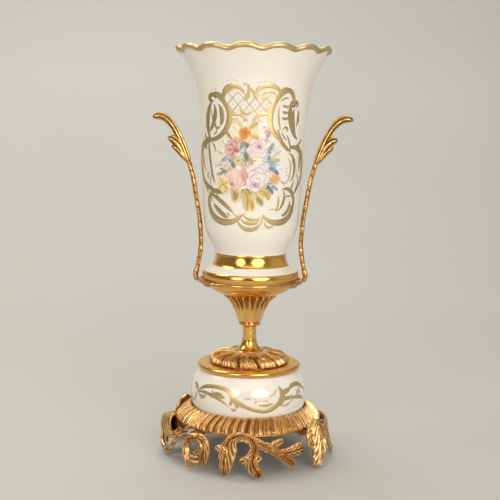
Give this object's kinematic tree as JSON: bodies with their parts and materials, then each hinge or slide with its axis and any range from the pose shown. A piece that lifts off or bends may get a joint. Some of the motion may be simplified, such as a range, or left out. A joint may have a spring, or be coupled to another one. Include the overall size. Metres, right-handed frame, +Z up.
{
  "type": "porcelain vase",
  "caption": "Tall scalloped ivory porcelain vase with gilding and painted flowers, two leaf handles, turned brass stem, porcelain bun and cast openwork foot.",
  "frame": {"origin": "on the floor under the vase's axis, at the centre of the base", "axes": "+Z up along the vase's axis, -Y towards the painted front, +X to the viewer's right, through one handle"},
  "size_m": [0.2458, 0.2202, 0.5],
  "materials": {
    "porcelain": "glossy ivory glaze with gilding and hand-painted flowers",
    "polished_brass": "turned and polished gilt brass",
    "satin_brass": "brushed satin gilt brass",
    "antique_brass": "cast brass, antique gold with brown patina in the recesses",
    "steel": "plain zinc-plated steel",
    "felt": "dark pressed felt",
    "cork": "pressed cork sheet"
  },
  "bodies": {
    "root": {"vase_body": "porcelain", "handle_left": "antique_brass", "handle_right": "antique_brass", "mount_ring": "polished_brass", "handle_screws": "steel", "foot_gasket": "cork", "cup": "polished_brass", "fluted_bell": "antique_brass", "stem_collar": "polished_brass", "stem_tube": "satin_brass", "stem_flare": "polished_brass", "leaf_rosette": "antique_brass", "step_disc": "polished_brass", "cap_plate": "polished_brass", "cap_gasket": "cork", "base_bun": "porcelain", "bun_gasket": "cork", "gadroon_ring": "antique_brass", "bridge_plate": "steel", "foot_arch_front": "antique_brass", "foot_arch_back": "antique_brass", "foot_side_left": "antique_brass", "foot_side_right": "antique_brass", "foot_scroll_front_left": "antique_brass", "foot_scroll_back_right": "antique_brass", "foot_leaf_front_right": "antique_brass", "foot_leaf_back_left": "antique_brass", "foot_screws": "steel", "tie_rod": "steel", "top_nut": "steel", "top_washer": "steel", "top_pad": "felt", "bottom_washer": "steel", "bottom_nut": "steel"}
  },
  "joints": []
}
